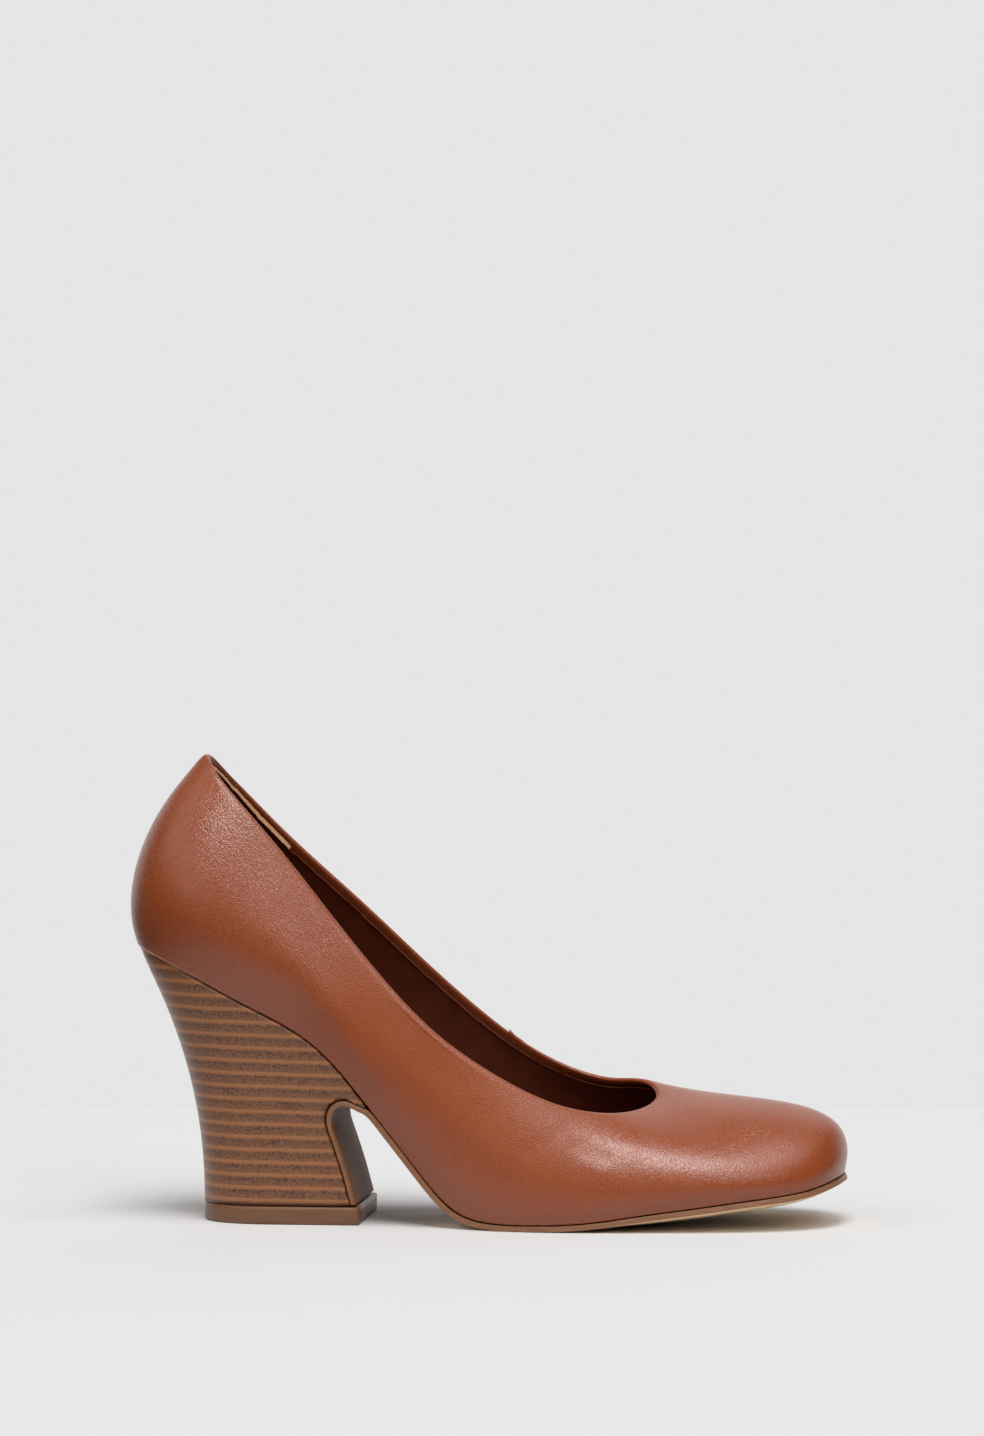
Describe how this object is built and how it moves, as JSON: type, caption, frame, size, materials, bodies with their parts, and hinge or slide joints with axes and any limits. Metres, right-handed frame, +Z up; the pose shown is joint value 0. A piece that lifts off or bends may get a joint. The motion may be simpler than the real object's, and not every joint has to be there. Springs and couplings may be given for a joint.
{
  "type": "block heel pump",
  "caption": "Slip-on pump for a right foot with a soft square toe, a low-cut leather upper and a tall stacked-look block heel notched under the arch.",
  "frame": {"origin": "middle of the shoe's box on the floor that it stands on", "axes": "+X from heel to toe, +Y to the inner (medial) side of this right shoe, +Z up"},
  "size_m": [0.2258, 0.0816, 0.1453],
  "materials": {
    "upper_leather": "smooth cognac leather with fine grain and a soft satin polish",
    "sole_board": "thin moulded sole, brown satin edge and paler matte tread",
    "sock_leather": "dark reddish brown lining leather, matte",
    "heel_wrap": "printed stacked-leather wrap over a moulded block, satin",
    "lift_rubber": "dense brown rubber, satin"
  },
  "bodies": {
    "root": {"upper": "upper_leather", "outsole": "sole_board", "insole": "sock_leather", "heel_block": "heel_wrap", "top_lift": "lift_rubber"}
  },
  "joints": []
}
